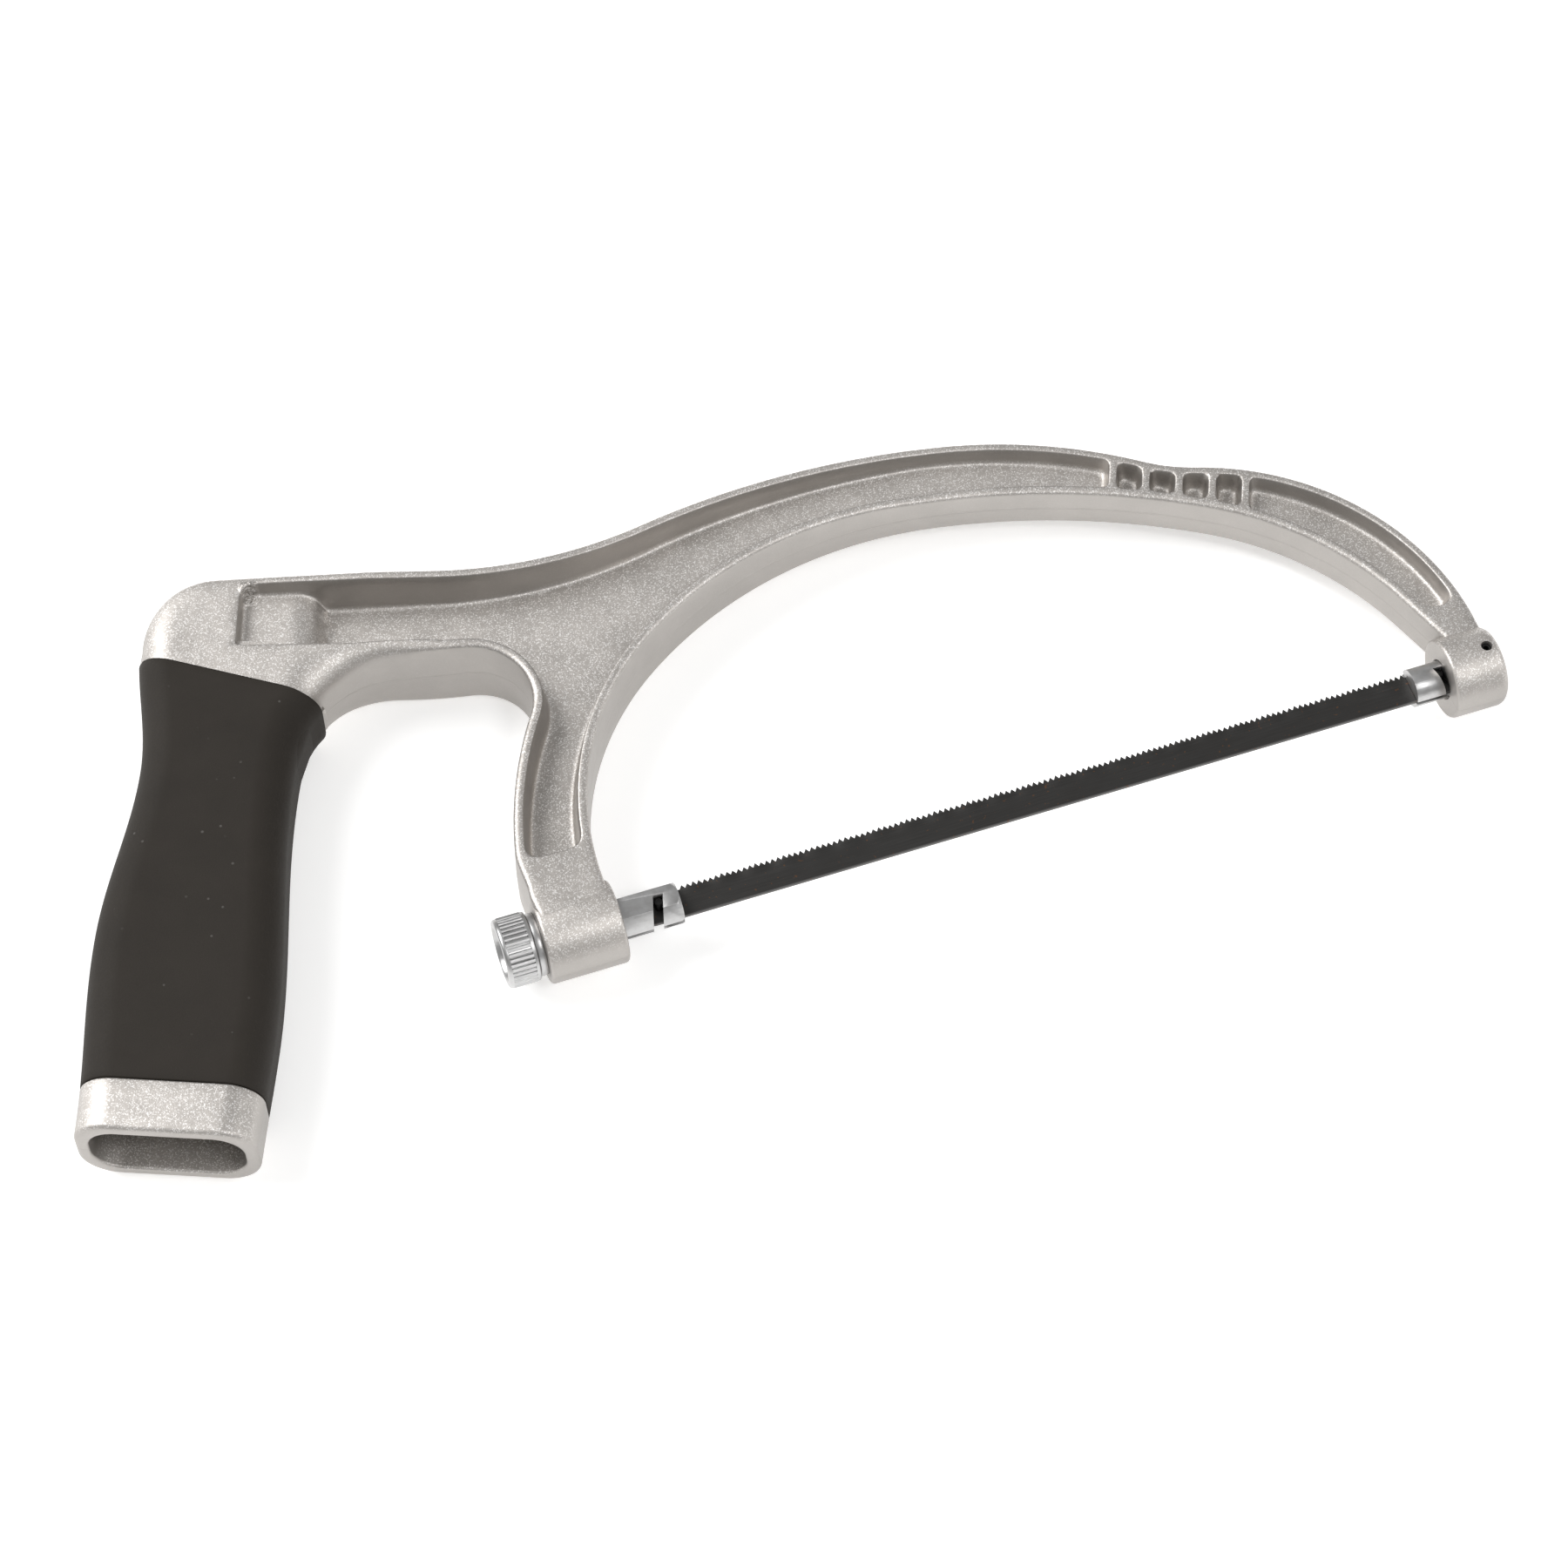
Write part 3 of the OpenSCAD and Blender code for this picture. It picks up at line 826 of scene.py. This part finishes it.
def rubber():
    """Matt moulded rubber with a trace of dust."""
    m = Shade("grip_rubber")
    at = m.place()
    fine = m.noise(at, 3.0, 3.0, 0.65)
    broad = m.noise(at, 0.12, 3.0, 0.6)
    dust = 1 - m.cells(at, 0.36).over(0.09, 0.03)
    where = m.noise(at, 0.15, 1.0).over(0.58, 0.05)
    color = m.mix(broad, grey(0.018, 0.19), grey(0.026, 0.19))
    color = m.mix(dust * where * 0.4, color, grey(0.16, 0.05))
    n = m.bump(broad, 0.3, 0.15)
    n = m.bump(fine, 0.6, 0.04, n)
    return m.set(Base_Color=color, Roughness=0.62 + 0.16 * fine, Metallic=0.0,
                 Specular_IOR_Level=0.22, Normal=n)


def zinc(name, value, rough):
    """Bright zinc plate over turned or drawn steel, with fine marks along the bar."""
    m = Shade(name)
    drawn = m.noise(m.place((0.12, 2.5, 2.5)), 1.6, 3.0, 0.6)
    spots = m.noise(m.place(), 0.8, 3.0, 0.6)
    color = m.mix(spots.over(0.5, 0.3), grey(value * 0.86, 0.01), grey(value, 0.0))
    n = m.bump(drawn, 0.6, 0.04)
    return m.set(Base_Color=color, Roughness=rough + 0.22 * spots * drawn, Metallic=1.0,
                 Normal=m.bump(spots, 0.25, 0.05, n))


WAVE_LEN = 5.8                        # one wave of the blade's set teeth


def blade_steel():
    """Blued strip brushed lengthwise, bright at its back edge, with a painted sheen that follows
    the wavy set.
    """
    m = Shade("blade_steel_blued")
    brushed = m.noise(m.place((0.05, 4.0, 4.0)), 1.5, 4.0, 0.65)
    blotch = m.noise(m.place((0.3, 1, 1)), 0.35, 3.0, 0.6)
    y = m.axis(1) - ORIGIN[1]
    x = m.axis(0) - ORIGIN[0]
    back = 1 - y.over(-2.95, 0.12)
    teeth = y.over(2.35, 0.2)
    wave = m.node("ShaderNodeMath", {"operation": "SINE"}, {0: x * (2 * math.pi / WAVE_LEN)})
    # painted sheen: the teeth are lighter where the wavy set leans them upward, darker where it
    # leans them down
    wave_sheen = teeth * (wave * 0.5 + 0.5)
    rust = m.noise(m.place(), 1.4, 2.0, 0.5).over(0.70, 0.03)
    color = m.mix(brushed, grey(0.03, 0.03), grey(0.07, 0.03))
    color = m.mix(blotch.over(0.5, 0.2) * 0.5, color, grey(0.04, 0.05))
    color = m.mix(back * 0.6, color, grey(0.2, 0.02))
    color = m.mix(wave_sheen * 0.3, color, grey(0.13, 0.02))
    color = m.mix(rust * 0.6, color, (0.16, 0.075, 0.035, 1))
    return m.set(Base_Color=color, Roughness=0.34 + 0.2 * brushed, Metallic=0.75,
                 Normal=m.bump(brushed, 0.4, 0.02))


CAST, RUBBER = cast_aluminium(), rubber()
ZINC = zinc("zinc_bright", 0.56, 0.3)
PIN_STEEL = zinc("pin_steel_dull", 0.035, 0.5)
BLADE_STEEL = blade_steel()

# ---------------------------------------------------------------- pieces on the frame
PIN_INSET, PIN_HOLE_R = 2.6, 1.05     # the cross hole's place from the nose, and its radius
nose = drilled(front_boss(), (FRONT_END - PIN_INSET, 0), PIN_HOLE_R, 20)
frame_piece = add_piece("frame_casting", *merge(casting(), handle_core(), rear_boss(), nose),
                        "frame", "cast_aluminium", CAST, ["frame"])
smooth(frame_piece, 50)
# "wall" is 0 on faces that lie flat and 1 on upright ones, for the casting's finish and the painted
# shade on the upright faces
mesh = frame_piece.data
walls = mesh.attributes.new("wall", "FLOAT", "POINT")
up = np.zeros(len(mesh.vertices) * 3)
mesh.vertices.foreach_get("normal", up)
walls.data.foreach_set("value", 1 - ease((np.abs(up.reshape(-1, 3)[:, 2]) - 0.25) / 0.5))

grip = add_piece("grip_sleeve_rubber", *sleeve(), "frame", "rubber", RUBBER, ["grip_sleeve"])
smooth(grip, 50)


def refined(node, body, material, width):
    """A CAD node's shape, welded and with its edges broken."""
    obj = bpy.data.objects.new(node + "_fine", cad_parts[node].data.copy())
    bpy.context.scene.collection.objects.link(obj)
    bm = bmesh.new()
    bm.from_mesh(obj.data)
    bmesh.ops.remove_doubles(bm, verts=bm.verts, dist=1e-6)
    bmesh.ops.dissolve_limit(bm, angle_limit=math.radians(1), verts=bm.verts, edges=bm.edges)
    bm.to_mesh(obj.data)
    bm.free()
    bevel = obj.modifiers.new("broken_edges", "BEVEL")
    bevel.width, bevel.segments, bevel.limit_method = width * MM, 2, "ANGLE"
    bevel.angle_limit = math.radians(32)
    bevel.use_clamp_overlap = True
    plain = evaluated(obj)
    obj.modifiers.clear()
    obj.data = plain
    finish_piece(obj, body, material, [node])
    smooth(obj, 40)


refined("nut_washer", "frame", ZINC, 0.25)
refined("rear_blade_holder", "draw_bolt", ZINC, 0.14)
refined("front_blade_holder", "frame", ZINC, 0.14)
refined("front_holder_pin", "frame", PIN_STEEL, 0.1)
refined("blade_pin_rear", "blade", PIN_STEEL, 0.15)
refined("blade_pin_front", "blade", PIN_STEEL, 0.15)


# ---------------------------------------------------------------- what repeats, by geometry nodes
class Grower:
    """A geometry node tree with named size inputs, run once and turned into a plain mesh."""

    def __init__(self, name, sizes):
        self.tree = bpy.data.node_groups.new(name, "GeometryNodeTree")
        face = self.tree.interface
        self.sizes = {}
        for key, value in sizes.items():
            kind = "NodeSocketInt" if isinstance(value, int) else "NodeSocketFloat"
            socket = face.new_socket(key, in_out="INPUT", socket_type=kind)
            self.sizes[key] = (socket, value)
        face.new_socket("Geometry", in_out="OUTPUT", socket_type="NodeSocketGeometry")
        self.inputs = self.tree.nodes.new("NodeGroupInput")

    def size(self, key):
        """The tree's own input socket for a size."""
        return self.inputs.outputs[key]

    def node(self, kind, settings=None, inputs=None, out=0):
        n = self.tree.nodes.new(kind)
        for key, value in (settings or {}).items():
            setattr(n, key, value)
        for key, value in (inputs or {}).items():
            if isinstance(value, bpy.types.NodeSocket):
                self.tree.links.new(value, n.inputs[key])
            else:
                n.inputs[key].default_value = value
        return n.outputs[out]

    def math(self, operation, a, b=0.0):
        return self.node("ShaderNodeMath", {"operation": operation}, {0: a, 1: b})

    def grow(self, geometry, material):
        """Ends the tree, runs it once and gives its shape in millimetres."""
        done = self.node("GeometryNodeRealizeInstances", {}, {0: geometry})
        done = self.node("GeometryNodeSetMaterial", {}, {0: done, "Material": material})
        end = self.tree.nodes.new("NodeGroupOutput")
        self.tree.links.new(done, end.inputs[0])
        holder = bpy.data.objects.new("holder", bpy.data.meshes.new("holder"))
        bpy.context.scene.collection.objects.link(holder)
        modifier = holder.modifiers.new("grow", "NODES")
        modifier.node_group = self.tree
        for socket, value in self.sizes.values():
            modifier[socket.identifier] = value
        plain = evaluated(holder)
        verts = [np.array(v.co) / MM for v in plain.vertices]
        faces = [tuple(f.vertices) for f in plain.polygons]
        bpy.data.objects.remove(holder)
        return verts, faces


# The nut: a turned body with a straight knurl between plain rims, dished on its outer face.
NUT_D, NUT_RIDGES, KNURL_H = 12.8, 40, 0.36
nut_x0, nut_x1 = span("tension_nut")
knurl = Grower("straight_knurl", {
    "Ridges": NUT_RIDGES, "Pitch radius": (NUT_D / 2 - KNURL_H) * MM, "Ridge radius": KNURL_H * MM,
    "Length": (nut_x1 - nut_x0 - 1.5) * MM, "Seed": 4})
ridge = knurl.node("GeometryNodeMeshCylinder", {}, {
    "Vertices": 8, "Radius": knurl.size("Ridge radius"), "Depth": knurl.size("Length")})
circle = knurl.node("GeometryNodeMeshCircle", {}, {
    "Vertices": knurl.size("Ridges"), "Radius": knurl.size("Pitch radius")})
wear = knurl.node("FunctionNodeRandomValue", {"data_type": "FLOAT"}, {
    2: 0.86, 3: 1.08, "Seed": knurl.size("Seed")}, 1)
stretch = knurl.node("ShaderNodeCombineXYZ", {}, {0: wear, 1: wear, 2: 1.0})
ridges = knurl.node("GeometryNodeInstanceOnPoints", {}, {
    "Points": circle, "Instance": ridge, "Scale": stretch})
ridges = knurl.node("GeometryNodeTransform", {}, {
    0: ridges, "Rotation": (0, math.pi / 2, 0),
    "Translation": ((nut_x0 + nut_x1 + 0.1) / 2 * MM, 0, 0)})
ridge_shell = knurl.grow(ridges, ZINC)
rim_r = NUT_D / 2 - 0.12
nut_profile = (arc(nut_x1 - 0.35, rim_r - 0.35, 0.35, 0, 90, 3)
               + [(nut_x1 - 0.75, rim_r), (nut_x1 - 0.85, rim_r - 0.3)]
               + [(nut_x0 + 0.95, rim_r - 0.3), (nut_x0 + 0.8, rim_r)]
               + arc(nut_x0 + 0.5, rim_r - 0.5, 0.5, 90, 180, 4)
               + [(nut_x0, 5.0), (nut_x0 + 0.25, 4.75), (nut_x0 + 1.1, 4.55), (nut_x0 + 1.25, 4.3),
                  (nut_x0 + 1.25, 2.9), (nut_x0 + 1.6, SHANK_BORE_R), (nut_x1 - 0.3, SHANK_BORE_R),
                  (nut_x1, 2.8)])
nut_piece = add_piece("knurled_nut", *merge(ring_shell(nut_profile), ridge_shell),
                      "nut", "zinc_steel", ZINC, ["tension_nut"])
smooth(nut_piece, 38)

# The blade: a strip whose toothed edge is waved from side to side, and one tooth repeated along it.
BLADE_W, BLADE_T, TOOTH_PITCH, TOOTH_H = 6.3, 0.65, 1.06, 0.78
WAVE_SET = 0.13                       # how far the wave leans the teeth to each side
BARE = 4.5                            # from a blade pin to the first tooth
blade_x0, blade_x1 = span("blade")
TEETH = int((2 * PIN_X - 2 * BARE) / TOOTH_PITCH)
tooth_from = -TEETH * TOOTH_PITCH / 2
root = BLADE_W / 2 - TOOTH_H
rings = []
lean_out = (0.0, 0.35, 0.75, 1.0)
for x in np.concatenate([[blade_x0, blade_x0 + 0.25, blade_x0 + 0.8],
                         np.linspace(blade_x0 + 1.5, blade_x1 - 1.5, 300),
                         [blade_x1 - 0.8, blade_x1 - 0.25, blade_x1]]):
    end = min(x - blade_x0, blade_x1 - x)
    pull = 0.8 - math.sqrt(max(0.64 - (0.8 - min(end, 0.8)) ** 2, 0))
    held = float(ease((PIN_X - abs(x)) / 3))
    swing = WAVE_SET * math.sin(2 * math.pi * x / WAVE_LEN) * held
    low, high, h, c = -BLADE_W / 2 + pull, root - pull, BLADE_T / 2, 0.07
    ys = [high - 1.9, high - 1.2, high - 0.5, high]
    top = [(y, h + swing * k) for y, k in zip(ys, lean_out)]
    under = [(y, -h + swing * k) for y, k in zip(ys, lean_out)]
    ring = [(low + c, h)] + top + under[::-1] + [(low + c, -h), (low, -h + c), (low, h - c)]
    rings.append([(x, y, z) for y, z in ring])
strip = loft(rings)
teeth = Grower("wavy_set_teeth", {
    "Teeth": TEETH, "Pitch": TOOTH_PITCH * MM, "First": (tooth_from + TOOTH_PITCH / 2) * MM,
    "Root": (root - 0.02) * MM, "Tooth height": TOOTH_H * MM, "Thickness": 0.6 * MM,
    "Wave length": WAVE_LEN * MM, "Wave set": WAVE_SET * MM, "Seed": 9})
blank = teeth.node("GeometryNodeMeshCylinder", {}, {
    "Vertices": 3, "Radius": 1.0, "Depth": teeth.size("Thickness")})
blank = teeth.node("GeometryNodeTransform", {}, {0: blank, "Rotation": (0, 0, math.pi / 2)})
blank = teeth.node("GeometryNodeTransform", {}, {0: blank, "Translation": (0.22, 0.5, 0)})
start = teeth.node("ShaderNodeCombineXYZ", {}, {0: teeth.size("First"), 1: teeth.size("Root")})
step = teeth.node("ShaderNodeCombineXYZ", {}, {0: teeth.size("Pitch")})
line = teeth.node("GeometryNodeMeshLine", {}, {
    "Count": teeth.size("Teeth"), "Start Location": start, "Offset": step})
here = teeth.node("ShaderNodeSeparateXYZ", {}, {0: teeth.node("GeometryNodeInputPosition")})
phase = teeth.math("MULTIPLY", teeth.math("DIVIDE", here, teeth.size("Wave length")), 2 * math.pi)
side_set = teeth.math("MULTIPLY", teeth.math("SINE", phase), teeth.size("Wave set"))
lean = teeth.node("ShaderNodeCombineXYZ", {}, {2: side_set})
line = teeth.node("GeometryNodeSetPosition", {}, {0: line, "Offset": lean})
filed = teeth.node("FunctionNodeRandomValue", {"data_type": "FLOAT"}, {
    2: 0.9, 3: 1.06, "Seed": teeth.size("Seed")}, 1)
wide = teeth.math("DIVIDE", teeth.size("Pitch"), math.sqrt(3) * 1.02)
tall = teeth.math("MULTIPLY", teeth.math("DIVIDE", teeth.size("Tooth height"), 1.5), filed)
shape = teeth.node("ShaderNodeCombineXYZ", {}, {0: wide, 1: tall, 2: 1.0})
row = teeth.node("GeometryNodeInstanceOnPoints", {}, {
    "Points": line, "Instance": blank, "Scale": shape})
tooth_shell = teeth.grow(row, BLADE_STEEL)
blade_piece = add_piece("blade_strip", *merge(strip, tooth_shell),
                        "blade", "blade_steel", BLADE_STEEL, ["blade"])
smooth(blade_piece, 30)

# ---------------------------------------------------------------- floor, light and camera
FLOOR_HALF = 4.0
FLOOR_GLOW, SKY = 0.42, 0.38          # the floor's own light and the light from all round
LENS, SENSOR = 90, 36
floor_mesh = bpy.data.meshes.new("floor")
floor_mesh.from_pydata([(x * FLOOR_HALF, y * FLOOR_HALF, 0)
                        for x, y in ((-1, -1), (1, -1), (1, 1), (-1, 1))], [], [(0, 1, 2, 3)])
floor = bpy.data.objects.new("floor", floor_mesh)
bpy.context.scene.collection.objects.link(floor)
paper = Shade("floor_paper")
floor_mesh.materials.append(paper.set(
    Base_Color=(0.9, 0.9, 0.9, 1), Roughness=0.9, Specular_IOR_Level=0.1,
    Emission_Color=(1, 0.995, 0.985, 1), Emission_Strength=FLOOR_GLOW))
floor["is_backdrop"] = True


def area_light(name, place, size, watts):
    """A round soft light that faces the saw."""
    data = bpy.data.lights.new(name, "AREA")
    data.shape, data.size, data.energy = "DISK", size, watts
    light = bpy.data.objects.new(name, data)
    bpy.context.scene.collection.objects.link(light)
    light.location = place
    light.rotation_euler = (-Vector(place)).to_track_quat("-Z", "Y").to_euler()


area_light("key", (-1.5, 1.2, 1.8), 2.0, 60)
area_light("fill", (1.6, -0.6, 1.3), 1.2, 9)
area_light("front", (0.45, -1.1, 1.9), 0.5, 9)
bpy.context.scene.view_settings.view_transform = "Standard"
world = bpy.data.worlds.new("studio")
world.use_nodes = True
world.node_tree.nodes["Background"].inputs[0].default_value = (1, 1, 1, 1)
world.node_tree.nodes["Background"].inputs[1].default_value = SKY
bpy.context.scene.world = world

right = Vector((0.9464321, -0.3228869, 0.0032139))
upward = Vector((0.2730724, 0.8056506, 0.5256982))
backward = Vector((-0.1723304, -0.4966601, 0.8506651))
camera_data = bpy.data.cameras.new("camera")
camera_data.lens, camera_data.sensor_width = LENS, SENSOR
camera = bpy.data.objects.new("camera", camera_data)
bpy.context.scene.collection.objects.link(camera)
turn = Matrix((right, upward, backward)).transposed().to_4x4()
camera.matrix_world = Matrix.Translation((-0.118833, -0.365334, 0.611111)) @ turn
bpy.context.scene.camera = camera

low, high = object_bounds()
